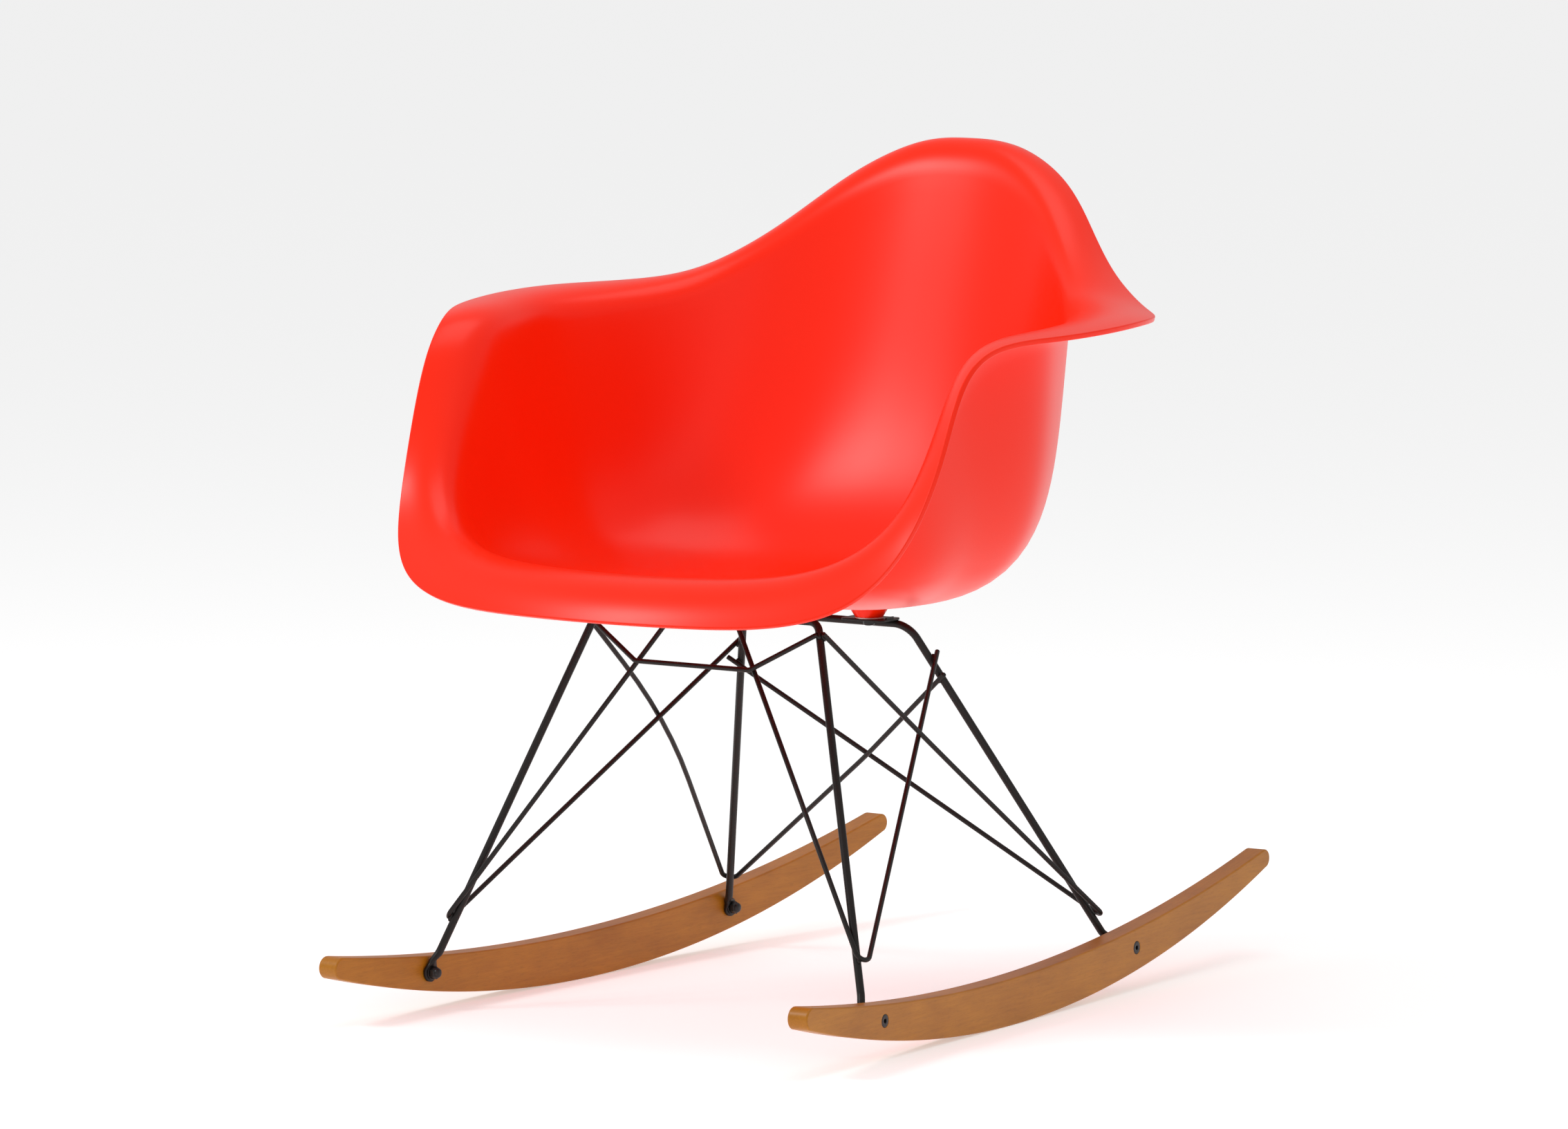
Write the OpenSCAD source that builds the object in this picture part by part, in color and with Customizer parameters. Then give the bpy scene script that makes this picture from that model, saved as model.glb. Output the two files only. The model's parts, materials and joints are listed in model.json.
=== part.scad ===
// Rocking armchair: a moulded shell seat on a wire base with two curved wooden rockers.
// Millimetres. +Z is up, the sitter faces -Y, +X is the sitter's left.
// Origin: on the floor, mid-width, at the rockers' lowest line.

/* [Seat shell] */
// Wall thickness of the moulded shell
shell_t = 5; // [4:0.5:7]
// Height of the lowest point of the seat surface
seat_z = 366.5; // [365.5:0.5:368]
// How square the seat bowl is in section
bowl_power = 4.4; // [3.4:0.1:5]
// Width of the shell as a fraction of the standard one
shell_w_scale = 1; // [0.92:0.01:1.08]
// Height of the shell above the seat as a fraction of the standard one
shell_h_scale = 1; // [0.9:0.01:1.2]

/* [Mounting bosses] */
// Boss diameter at its foot
boss_d = 26; // [24:1:32]
// Boss diameter where it meets the shell
boss_root_d = 46; // [36:1:48]
// Half spacing of the front bosses
front_boss_x = 72; // [66:1:78]
// Half spacing of the rear bosses
rear_boss_x = 56; // [50:1:60]
// Distance of each boss axis inboard of its bar
boss_inset = 14; // [13:1:17]
// Boss screw thread diameter
screw_d = 6; // [5:0.5:6]

/* [Leg frames] */
// Diameter of the leg rod
leg_d = 7; // [6:0.5:8]
// Height of the middle of the front bar
front_bar_z = 362.5; // [361:0.5:363]
// Height of the middle of the rear bar
rear_bar_z = 340; // [338:0.5:341]
// Position of the front bar
front_bar_y = -121.5; // [-126:0.5:-117]
// Position of the rear bar
rear_bar_y = 66; // [62:1:70]
// Half width of the front bar, to the leg lines
front_bar_x = 116.5; // [112:0.5:121]
// Half width of the rear bar, to the leg lines
rear_bar_x = 89; // [86:1:94]
// Bend radius at the ends of the front bar, to the rod's middle line
front_bend = 12; // [10:1:16]
// Bend radius at the ends of the rear bar, to the rod's middle line
rear_bend = 22; // [18:1:26]

/* [Brace wires] */
// Diameter of the brace wire
wire_d = 4.5; // [4:0.25:5]
// Radius of the hairpin at the foot of each brace, to the wire's middle line
hairpin_r = 8; // [7:0.5:9]

/* [Rockers] */
// Radius of the rolling edge
roll_r = 1397; // [1250:1:1600]
// Radius of the upper edge
upper_r = 2250; // [2000:10:2600]
// Depth of the rocker under its upper arc
rocker_depth = 42; // [38:1:46]
// Rocker thickness
rocker_t = 20; // [18:1:24]
// Reach of the rocker tips in front
rocker_front = 353; // [320:1:380]
// Reach of the rocker tips behind
rocker_rear = 478; // [440:1:500]
// Half track of the outer faces at the lowest line
half_track = 243; // [239:1:247]
// Turn of each rocker, closer together behind
toe_deg = 2.6; // [2:0.1:3.2]

/* [Fasteners] */
// Head diameter of the flush rocker screws
csk_d = 12; // [11:0.5:14]
// Hole in rockers, washers and foot tabs
bolt_hole_d = 6.6; // [6.4:0.1:7]
// Front bolt, along the rocker
front_bolt_s = -222; // [-228:1:-216]
// Rear bolt, along the rocker
rear_bolt_s = 225; // [219:1:231]
// Front bolt height
front_bolt_z = 35; // [33:1:38]
// Rear bolt height
rear_bolt_z = 39.5; // [37:0.5:43]

/* [Hidden] */
$fn = 48;

// Shell guide stations, front centre round the left arm to the back centre.
// Each row: rim edge, rolled crest corner, bowl foot corner, share of wall before the roll.
STATIONS = [
  [[0, -309, 374], [0, -284, 424], [0, -196, 390.5], 0.42],
  [[85, -303, 374], [80, -279, 425], [68, -193, 390.5], 0.42],
  [[165, -286, 375], [154, -262, 430], [134, -183, 389], 0.45],
  [[224, -264, 388], [204, -237, 446], [184, -165, 386.5], 0.52],
  [[257, -238, 416], [234, -202, 475], [214, -140, 382.5], 0.62],
  [[274, -207, 460], [246, -172, 516], [231, -106, 378], 0.72],
  [[282, -179, 520], [249, -146, 562], [236, -74, 373.5], 0.76],
  [[283, -156, 583], [250, -116, 604], [239, -46, 370.5], 0.80],
  [[291, -116, 616], [256, -80, 625], [242, -20, 368.5], 0.84],
  [[321, -52, 618], [265, -32, 631], [243, 6, 367.5], 0.86],
  [[334, 20, 621.5], [268, 11, 635], [242, 32, 367], 0.86],
  [[328, 88, 624.5], [250, 60, 638], [229, 63, 366], 0.86],
  [[300, 148, 621.5], [229, 109, 643], [212, 93, 365.5], 0.86],
  [[255, 199, 622], [200, 156, 650], [189, 119, 365.5], 0.87],
  [[205, 229, 645.5], [173, 194, 671], [158, 140, 365.5], 0.88],
  [[164, 259, 680], [142, 226, 696], [125, 155, 365.5], 0.89],
  [[116, 294, 727.5], [102, 259, 734], [90, 164, 365.5], 0.90],
  [[50, 311, 758], [46, 281, 766], [45, 170, 365.5], 0.90],
  [[0, 312, 758], [0, 283, 768], [0, 171, 365.5], 0.90]
];
SEAT_MID = [0, -20, seat_z];
REF_SEAT_Z = 366.5;
LOOP_STEPS = 3;
BOWL_ROWS = 13;
ROLL_ROWS = 7;
DISH = 0.15;

FIT = 0.15;
SEAM_LEN = 1;
SEAM_OVER = 0.1;
PLATE_T = 2;
PAD_T = 1;
PLATE_W = 26;
PLATE_LEN = 46;
LIP_W = 12;
LIP_H = 4;
INSERT_D = 14;
INSERT_LEN = 4.5;
THREAD_DEEP = 3.5;
FRONT_WALL = 8.5;
REAR_WALL = -2.9;
HEAD_D = 11;
HEAD_H = 5;
SOCKET_D = 5;
SOCKET_DEEP = 2.6;
TAB_T = 3.5;
TAB_W = 17;
TAB_REACH = 13;
FOOT_IN = 4.3;
FOOT_REACH = 9;
FRONT_KNEE = [8, 6, 19];
REAR_KNEE = [9.5, 12, 13];
FRONT_KNEE_BEND = 25;
REAR_KNEE_BEND = 12;
WASHER_D = 13;
WASHER_T = 1;
NUT_D = 11.5;
NUT_H = 5;
DOME_D = 9;
DOME_H = 3;
CSK_H = 3.5;
UPPER_BACK = 35;
ARC_FN = 720;
TALL = 200;
FRONT_APEX = [4.7, -1.3, 16.2];
REAR_APEX = [7.1, 6.2, 7.8];
FRONT_BRACE_TOP_X = 32;
FRONT_BRACE_Z = 307.4;
REAR_BRACE_Z = 349.5;
CROSS_Z = 291.5;
TIE_Z = 353;
TIE_OUT = 2;
BAR_OVER = 4;
FRONT_OVER = 9;
CROSS_OVER = 12;
CROSS_GAP = 3;
CROSS_SHIFT = [0, 5.6, -3.7];
SWAY_R = 1000;
SWAY = [-28, -28.2, 37.8];
TIE_CORNER = [61, -147, 319];
TIE_BEND = 8;

contact = leg_d / 2 + wire_d / 2 + FIT;

// ---- vector and curve helpers ----
function unit(v) = v / norm(v);
function flip(v) = [-v[0], v[1], v[2]];
function angle_of(a, b) = acos(max(-1, min(1, a * b)));
function pick(list, i) = list[(i + len(list)) % len(list)];
function spline_at(list, i, t) =
  ((1 - t) ^ 3 * pick(list, i - 1) + (3 * t ^ 3 - 6 * t ^ 2 + 4) * pick(list, i)
   + (-3 * t ^ 3 + 3 * t ^ 2 + 3 * t + 1) * pick(list, i + 1) + t ^ 3 * pick(list, i + 2)) / 6;
function full_loop(column) = concat(
  [for (row = STATIONS) row[column]],
  [for (i = [len(STATIONS) - 2:-1:1]) is_list(STATIONS[i][column])
    ? flip(STATIONS[i][column]) : STATIONS[i][column]]);
function smooth_loop(list) =
  [for (i = [0:len(list) - 1], k = [0:LOOP_STEPS - 1]) spline_at(list, i, k / LOOP_STEPS)];
function stretch(p) = [
  p[0] * shell_w_scale,
  p[1],
  seat_z + (p[2] - REF_SEAT_Z) * shell_h_scale
];

// ---- shell surface ----
rim = [for (p = smooth_loop(full_loop(0))) stretch(p)];
corner = [for (p = smooth_loop(full_loop(1))) stretch(p)];
foot = [for (p = smooth_loop(full_loop(2))) stretch(p)];
share = smooth_loop(full_loop(3));
wall_top = [for (i = [0:len(rim) - 1]) foot[i] + share[i] * (corner[i] - foot[i])];
AROUND = len(rim);
ROWS = BOWL_ROWS + ROLL_ROWS;
// Row 0 is the middle of the seat, the last row is the rim edge.
function dish(u) = sqrt(u ^ 2 + DISH ^ 2) - DISH * (1 - u);
function bowl_point(i, q) =
  let (u = sin(q) ^ (2 / bowl_power), run = foot[i] - SEAT_MID)
  SEAT_MID + [run[0] * u, run[1] * u, run[2] * dish(u)]
  + (wall_top[i] - foot[i]) * (1 - cos(q) ^ (2 / bowl_power));
function roll_point(i, t) =
  (1 - t) ^ 2 * wall_top[i] + 2 * t * (1 - t) * corner[i] + t ^ 2 * rim[i];
function surface_point(row, i) = row <= BOWL_ROWS
  ? bowl_point(i, 90 * row / BOWL_ROWS)
  : roll_point(i, (row - BOWL_ROWS) / ROLL_ROWS);
face_top = [for (row = [1:ROWS]) [for (i = [0:AROUND - 1]) surface_point(row, i)]];
function across(row, i) =
  pick(face_top[row], i + 1) - pick(face_top[row], i - 1);
function outward(row, i) = row == 0
  ? face_top[1][i] - SEAT_MID
  : face_top[min(row + 1, ROWS - 1)][i] - face_top[row - 1][i];
function below(row, i) = unit(cross(across(row, i), outward(row, i)));
face_under = [for (row = [0:ROWS - 1])
  [for (i = [0:AROUND - 1]) face_top[row][i] + shell_t * below(row, i)]];

module shell_skin() {
  points = concat(
    [SEAT_MID],
    [for (row = face_top) for (p = row) p],
    [SEAT_MID - [0, 0, shell_t]],
    [for (row = face_under) for (p = row) p]);
  under = 1 + ROWS * AROUND;
  function top_id(row, i) = 1 + row * AROUND + i % AROUND;
  function under_id(row, i) = under + top_id(row, i);
  faces = concat(
    [for (i = [0:AROUND - 1]) [0, top_id(0, i + 1), top_id(0, i)]],
    [for (row = [0:ROWS - 2], i = [0:AROUND - 1], half = [0, 1]) half == 0
      ? [top_id(row, i), top_id(row, i + 1), top_id(row + 1, i + 1)]
      : [top_id(row, i), top_id(row + 1, i + 1), top_id(row + 1, i)]],
    [for (i = [0:AROUND - 1]) [under, under_id(0, i), under_id(0, i + 1)]],
    [for (row = [0:ROWS - 2], i = [0:AROUND - 1], half = [0, 1]) half == 0
      ? [under_id(row, i), under_id(row + 1, i + 1), under_id(row, i + 1)]
      : [under_id(row, i), under_id(row + 1, i), under_id(row + 1, i + 1)]],
    [for (i = [0:AROUND - 1], half = [0, 1]) half == 0
      ? [top_id(ROWS - 1, i), top_id(ROWS - 1, i + 1), under_id(ROWS - 1, i + 1)]
      : [top_id(ROWS - 1, i), under_id(ROWS - 1, i + 1), under_id(ROWS - 1, i)]]);
  polyhedron(points = points, faces = faces);
}

// ---- rods ----
// A straight rod between two points.
module rod(a, b, d) {
  v = b - a;
  translate(a) rotate([0, acos(v[2] / norm(v)), atan2(v[1], v[0])]) cylinder(d = d, h = norm(v));
}
// Length from a bend's corner to where its arc starts.
function setback(before, at, after, r) =
  r * tan(angle_of(unit(at - before), unit(after - at)) / 2);
// The round arc of a bend at a corner.
module bend(before, at, after, r, d) {
  go = unit(at - before);
  leave = unit(after - at);
  turn = angle_of(go, leave);
  middle = at + unit(leave - go) * r / cos(turn / 2);
  axis = unit(cross(go, leave));
  start = unit(at - go * setback(before, at, after, r) - middle);
  tilt = acos(axis[2]);
  heading = atan2(axis[1], axis[0]);
  local_x = [cos(tilt) * cos(heading), cos(tilt) * sin(heading), -sin(tilt)];
  local_y = [-sin(heading), cos(heading), 0];
  translate(middle) rotate([0, tilt, heading])
    rotate([0, 0, atan2(start * local_y, start * local_x)])
    rotate_extrude(angle = turn) translate([r, 0]) circle(d = d);
}
// A rod through several points with a bend radius at each inner one.
module bent_rod(points, radii, d) {
  last = len(points) - 1;
  function cut(i) = i == 0 || i == last ? 0
    : setback(points[i - 1], points[i], points[i + 1], radii[i - 1]);
  for (i = [0:last - 1]) {
    way = unit(points[i + 1] - points[i]);
    rod(points[i] + way * cut(i), points[i + 1] - way * cut(i + 1), d);
  }
  for (i = [1:last - 1]) {
    bend(points[i - 1], points[i], points[i + 1], radii[i - 1], d);
    for (other = [points[i - 1], points[i + 1]]) {
      way = unit(other - points[i]);
      seam = points[i] + way * cut(i);
      rod(seam - way * SEAM_LEN / 2, seam + way * SEAM_LEN / 2, d + SEAM_OVER);
    }
  }
}

// ---- mounts ----
function bar_z(front) = front ? front_bar_z : rear_bar_z;
function plate_z(front) = bar_z(front) + leg_d / 2;
function boss_at(front, side) = front
  ? [side * front_boss_x, front_bar_y + boss_inset, plate_z(front) + PLATE_T + PAD_T]
  : [side * rear_boss_x, rear_bar_y - boss_inset, plate_z(front) + PLATE_T + PAD_T];
module at_bosses() {
  for (front = [true, false], side = [-1, 1]) translate(boss_at(front, side)) children();
}
// Height from a boss foot to the middle of the shell wall above it.
function boss_rise(front) = seat_z + (front ? FRONT_WALL : REAR_WALL) - boss_at(front, 1)[2];

module seat_shell() {
  color("OrangeRed") difference() {
    union() {
      shell_skin();
      for (front = [true, false], side = [-1, 1])
        translate(boss_at(front, side))
          cylinder(d1 = boss_d, d2 = boss_root_d, h = boss_rise(front));
    }
    at_bosses() translate([0, 0, -1]) cylinder(d = INSERT_D + 2 * FIT, h = INSERT_LEN + 1 + FIT);
  }
}

module threaded_inserts() {
  color("Goldenrod") at_bosses() difference() {
    cylinder(d = INSERT_D, h = INSERT_LEN);
    translate([0, 0, -1]) cylinder(d = screw_d + 2 * FIT, h = THREAD_DEEP + 1 + FIT);
  }
}

module pad(front, side) {
  color("Silver") translate(boss_at(front, side) - [0, 0, PAD_T]) difference() {
    cylinder(d = boss_d, h = PAD_T);
    translate([0, 0, -1]) cylinder(d = bolt_hole_d, h = PAD_T + 2);
  }
}

module plate(front, side) {
  depth = PLATE_W / 2 + boss_inset + leg_d / 2;
  color("DimGray") translate(boss_at(front, side) - [0, 0, PAD_T + PLATE_T])
    mirror([0, front ? 1 : 0, 0]) difference() {
      union() {
        translate([-PLATE_LEN / 2, -PLATE_W / 2, 0]) cube([PLATE_LEN, depth, PLATE_T]);
        translate([side * (PLATE_LEN - PLATE_T) / 2 - PLATE_T / 2, -LIP_W / 2, 0])
          cube([PLATE_T, LIP_W, LIP_H]);
      }
      translate([0, 0, -1]) cylinder(d = bolt_hole_d, h = PLATE_T + 2);
    }
}

module shell_screws() {
  drop = PAD_T + PLATE_T;
  color("DimGray") at_bosses() translate([0, 0, -drop]) difference() {
    union() {
      translate([0, 0, -HEAD_H]) cylinder(d = HEAD_D, h = HEAD_H);
      cylinder(d = screw_d, h = drop + THREAD_DEEP);
    }
    translate([0, 0, -HEAD_H - 1]) cylinder(d = SOCKET_D, h = SOCKET_DEEP + 1);
  }
}

// ---- leg frames ----
// Rocker frame: x is 0 on the outer face and negative inboard, y runs along the rocker.
function to_world(p, side) = [
  side * (half_track + p[0] * cos(toe_deg) - p[1] * sin(toe_deg)),
  p[0] * sin(toe_deg) + p[1] * cos(toe_deg),
  p[2]
];
module on_rocker(side) {
  mirror([side > 0 ? 0 : 1, 0, 0]) translate([half_track, 0, 0])
    rotate([0, 0, toe_deg]) children();
}
function bolt_s(front) = front ? front_bolt_s : rear_bolt_s;
function bolt_z(front) = front ? front_bolt_z : rear_bolt_z;
function inward(front) = front ? 1 : -1;
// Each knee from its bolt: inboard, towards the middle of the rocker, up.
function knee_from(front) = front ? FRONT_KNEE : REAR_KNEE;
// The front feet stand upright, the rear ones lean towards their knees.
function foot_lean(front) = front ? 0 : -atan2(REAR_KNEE[1], REAR_KNEE[2]);
function knee(front, side) = to_world([
  -rocker_t - knee_from(front)[0],
  bolt_s(front) + inward(front) * knee_from(front)[1],
  bolt_z(front) + knee_from(front)[2]], side);
function foot_end(front, side) = to_world([
  -rocker_t - FOOT_IN,
  bolt_s(front) + FOOT_REACH * sin(foot_lean(front)),
  bolt_z(front) + FOOT_REACH * cos(foot_lean(front))], side);
function bar_end(front, side) = front
  ? [side * front_bar_x, front_bar_y, front_bar_z]
  : [side * rear_bar_x, rear_bar_y, rear_bar_z];
function leg_way(front, side) = unit(bar_end(front, side) - knee(front, side));
// The point of a leg's middle line at a height.
function leg_at(front, side, z) =
  knee(front, side) + leg_way(front, side) * (z - knee(front, side)[2])
  / leg_way(front, side)[2];

module foot_tab(front, side) {
  on_rocker(side) translate([-rocker_t - TAB_T, bolt_s(front), bolt_z(front)])
    rotate([-foot_lean(front), 0, 0]) difference() {
      union() {
        rotate([0, 90, 0]) cylinder(d = TAB_W, h = TAB_T);
        translate([0, -TAB_W / 2, 0]) cube([TAB_T, TAB_W, TAB_REACH]);
      }
      translate([-1, 0, 0]) rotate([0, 90, 0]) cylinder(d = bolt_hole_d, h = TAB_T + 2);
    }
}

module leg_frame(front) {
  top_bend = front ? front_bend : rear_bend;
  knee_bend = front ? FRONT_KNEE_BEND : REAR_KNEE_BEND;
  color("DimGray") {
    bent_rod(
      [foot_end(front, -1), knee(front, -1), bar_end(front, -1),
       bar_end(front, 1), knee(front, 1), foot_end(front, 1)],
      [knee_bend, top_bend, top_bend, knee_bend], leg_d);
    for (side = [-1, 1]) foot_tab(front, side);
  }
}

// ---- braces ----
function apex(front, side) = knee(front, side)
  + (front ? [side * FRONT_APEX[0], FRONT_APEX[1], FRONT_APEX[2]]
           : [side * REAR_APEX[0], REAR_APEX[1], REAR_APEX[2]]);
// Where a wire from a point touches a leg on its outer or rear side.
function touch(from, front, side, z, lean) =
  leg_at(front, side, z) + contact * lean
  * unit(cross(leg_way(front, side), unit(leg_at(front, side, z) - from)));
function beyond(from, at, more) = at + unit(at - from) * more;

module front_brace(side) {
  foot_tip = apex(true, side);
  top = [side * FRONT_BRACE_TOP_X, front_bar_y - contact - 2 * FIT, front_bar_z];
  back = touch(foot_tip, false, side, FRONT_BRACE_Z, -side);
  color("DimGray") bent_rod(
    [beyond(foot_tip, top, BAR_OVER), foot_tip, beyond(foot_tip, back, FRONT_OVER)],
    [hairpin_r], wire_d);
}

module rear_brace(side) {
  foot_tip = apex(false, side);
  fore = touch(foot_tip, true, side, REAR_BRACE_Z, side);
  sway = (foot_tip + fore) / 2 + [side * SWAY[0], SWAY[1], SWAY[2]];
  over = touch(foot_tip, false, -side, CROSS_Z, side);
  share_x = foot_tip[0] / (foot_tip[0] - over[0]);
  meet = foot_tip + (over - foot_tip) * share_x + CROSS_SHIFT + [0, side * CROSS_GAP, 0];
  color("DimGray") bent_rod(
    [beyond(sway, fore, BAR_OVER), sway, foot_tip, meet, beyond(meet, over, CROSS_OVER)],
    [SWAY_R, hairpin_r, SWAY_R], wire_d);
}

module front_tie_wire() {
  left = [TIE_CORNER[0], TIE_CORNER[1], TIE_CORNER[2]];
  high = leg_at(true, 1, TIE_Z) + [TIE_OUT, -contact - FIT, 0];
  color("DimGray") bent_rod([flip(high), flip(left), left, high], [TIE_BEND, TIE_BEND], wire_d);
}

// ---- rockers ----
function lower_z(s) = roll_r - sqrt(roll_r ^ 2 - s ^ 2);
function upper_z(s) = rocker_depth + upper_r - sqrt(upper_r ^ 2 - (s + UPPER_BACK) ^ 2);
function slope(s) =
  (s / (roll_r - lower_z(s)) + (s + UPPER_BACK) / (rocker_depth + upper_r - upper_z(s))) / 2;
function tip_r(s) = (upper_z(s) - lower_z(s)) / 2 * cos(atan(slope(s)));
// Where the round of a tip is centred, along the rocker.
function tip_s(end) = let (far = end * (end > 0 ? rocker_rear : rocker_front))
  far - end * tip_r(far - end * tip_r(far));
module at_tip(end) {
  s = tip_s(end);
  translate([s, (upper_z(s) + lower_z(s)) / 2]) rotate(atan(slope(s))) children();
}
module rocker_outline() {
  difference() {
    intersection() {
      translate([0, roll_r]) circle(r = roll_r, $fn = ARC_FN);
      translate([-rocker_front, 0]) square([rocker_front + rocker_rear, TALL]);
    }
    translate([-UPPER_BACK, rocker_depth + upper_r]) circle(r = upper_r, $fn = ARC_FN);
    for (end = [-1, 1])
      at_tip(end) translate([end > 0 ? 0 : -TALL, -TALL / 2]) square(TALL);
  }
  for (end = [-1, 1]) at_tip(end) circle(r = tip_r(tip_s(end)));
}
module rocker(side) {
  color("BurlyWood") on_rocker(side) difference() {
    translate([-rocker_t, 0, 0]) rotate([90, 0, 90]) linear_extrude(rocker_t) rocker_outline();
    for (front = [true, false]) translate([0, bolt_s(front), bolt_z(front)])
      rotate([0, -90, 0]) {
        translate([0, 0, -1]) cylinder(d = bolt_hole_d, h = rocker_t + 2);
        translate([0, 0, -FIT])
          cylinder(d1 = csk_d + 4 * FIT, d2 = bolt_hole_d, h = CSK_H + 2 * FIT);
      }
  }
}

// Outward-facing spot of each rocker bolt, +Z inboard.
module at_bolts() {
  for (side = [-1, 1], front = [true, false]) on_rocker(side)
    translate([0, bolt_s(front), bolt_z(front)]) rotate([0, -90, 0]) children();
}

module rocker_screws() {
  reach = rocker_t + TAB_T + WASHER_T + NUT_H;
  color("DimGray") at_bolts() difference() {
    union() {
      cylinder(d1 = csk_d, d2 = screw_d, h = CSK_H);
      cylinder(d = screw_d, h = reach);
    }
    translate([0, 0, -1]) cylinder(d = SOCKET_D, h = SOCKET_DEEP + 1);
  }
}

module rocker_washers() {
  color("DimGray") at_bolts() translate([0, 0, rocker_t + TAB_T]) difference() {
    cylinder(d = WASHER_D, h = WASHER_T);
    translate([0, 0, -1]) cylinder(d = bolt_hole_d, h = WASHER_T + 2);
  }
}

module rocker_nuts() {
  base = rocker_t + TAB_T + WASHER_T;
  color("DimGray") at_bolts() translate([0, 0, base]) difference() {
    union() {
      cylinder(d = NUT_D, h = NUT_H);
      translate([0, 0, NUT_H]) cylinder(d1 = DOME_D, d2 = DOME_D / 2, h = DOME_H);
    }
    translate([0, 0, -1]) cylinder(d = screw_d + 2 * FIT, h = NUT_H + 1 + FIT);
  }
}

seat_shell();
threaded_inserts();
pad(true, 1);  // pad_front_left
pad(true, -1);  // pad_front_right
pad(false, 1);  // pad_rear_left
pad(false, -1);  // pad_rear_right
plate(true, 1);  // plate_front_left
plate(true, -1);  // plate_front_right
plate(false, 1);  // plate_rear_left
plate(false, -1);  // plate_rear_right
shell_screws();
leg_frame(true);  // front_leg_frame
leg_frame(false);  // rear_leg_frame
front_brace(1);  // front_brace_left
front_brace(-1);  // front_brace_right
rear_brace(1);  // rear_brace_left
rear_brace(-1);  // rear_brace_right
front_tie_wire();
rocker(1);  // rocker_left
rocker(-1);  // rocker_right
rocker_screws();
rocker_washers();
rocker_nuts();
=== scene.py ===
"""Looks of a rocking armchair, built round its packed parts.

A moulded shell on a wire base with wooden rockers.
"""

import json
import math
import sys

import bpy
import numpy as np
from bpy.props import FloatProperty, FloatVectorProperty, IntProperty, PointerProperty
from mathutils import Matrix, Vector
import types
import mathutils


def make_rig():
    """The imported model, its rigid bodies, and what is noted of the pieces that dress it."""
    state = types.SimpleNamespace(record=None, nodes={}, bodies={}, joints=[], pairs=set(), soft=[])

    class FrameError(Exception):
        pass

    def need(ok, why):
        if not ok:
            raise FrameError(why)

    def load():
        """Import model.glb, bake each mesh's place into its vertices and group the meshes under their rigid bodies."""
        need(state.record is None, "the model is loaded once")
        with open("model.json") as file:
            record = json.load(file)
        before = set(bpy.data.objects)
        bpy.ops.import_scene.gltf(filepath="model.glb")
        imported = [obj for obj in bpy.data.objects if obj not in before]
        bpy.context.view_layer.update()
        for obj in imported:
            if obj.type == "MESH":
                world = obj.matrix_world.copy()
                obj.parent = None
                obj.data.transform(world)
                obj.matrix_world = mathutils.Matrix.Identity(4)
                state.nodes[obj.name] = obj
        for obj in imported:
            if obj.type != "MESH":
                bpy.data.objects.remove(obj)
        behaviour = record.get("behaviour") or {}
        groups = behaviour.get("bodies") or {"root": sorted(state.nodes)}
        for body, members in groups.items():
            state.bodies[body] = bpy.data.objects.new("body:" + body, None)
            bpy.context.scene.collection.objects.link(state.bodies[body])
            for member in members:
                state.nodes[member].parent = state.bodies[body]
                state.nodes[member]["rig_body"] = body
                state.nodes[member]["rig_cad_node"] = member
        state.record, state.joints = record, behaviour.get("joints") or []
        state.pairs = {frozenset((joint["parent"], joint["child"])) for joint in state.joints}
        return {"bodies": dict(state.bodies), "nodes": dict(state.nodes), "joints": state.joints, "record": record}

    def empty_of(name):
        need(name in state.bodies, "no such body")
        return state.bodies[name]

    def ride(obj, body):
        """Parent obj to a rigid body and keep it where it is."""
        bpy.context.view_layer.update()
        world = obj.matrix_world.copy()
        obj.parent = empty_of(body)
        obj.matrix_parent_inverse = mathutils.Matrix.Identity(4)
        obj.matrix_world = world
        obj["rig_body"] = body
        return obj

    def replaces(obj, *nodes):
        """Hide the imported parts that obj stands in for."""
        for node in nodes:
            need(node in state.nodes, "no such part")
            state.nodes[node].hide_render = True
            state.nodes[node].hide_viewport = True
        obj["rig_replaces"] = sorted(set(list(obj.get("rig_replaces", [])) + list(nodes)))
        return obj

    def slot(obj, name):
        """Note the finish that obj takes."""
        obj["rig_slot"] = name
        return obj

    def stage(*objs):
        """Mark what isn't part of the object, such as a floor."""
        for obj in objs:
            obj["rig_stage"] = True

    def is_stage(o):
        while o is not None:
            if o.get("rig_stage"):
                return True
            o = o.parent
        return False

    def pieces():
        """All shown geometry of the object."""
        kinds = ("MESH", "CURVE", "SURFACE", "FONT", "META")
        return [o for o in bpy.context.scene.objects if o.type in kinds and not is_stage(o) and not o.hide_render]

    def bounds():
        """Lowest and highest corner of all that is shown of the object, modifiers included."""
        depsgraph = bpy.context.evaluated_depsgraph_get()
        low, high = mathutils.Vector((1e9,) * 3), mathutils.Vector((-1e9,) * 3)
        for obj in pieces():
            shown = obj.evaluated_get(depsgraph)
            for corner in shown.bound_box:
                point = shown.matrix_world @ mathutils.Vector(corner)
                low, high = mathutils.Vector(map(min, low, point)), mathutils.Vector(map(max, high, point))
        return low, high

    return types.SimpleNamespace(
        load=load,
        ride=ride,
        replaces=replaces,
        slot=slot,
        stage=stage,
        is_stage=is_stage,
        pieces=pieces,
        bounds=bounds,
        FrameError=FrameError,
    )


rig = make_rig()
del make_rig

bl_info = {
    "name": "Rocking armchair",
    "version": (1, 0, 0),
    "blender": (4, 5, 0),
    "location": "View3D > Sidebar > Chair",
    "description": "Builds a moulded rocking armchair, piece by piece, with its studio",
    "category": "Add Mesh",
}

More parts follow.
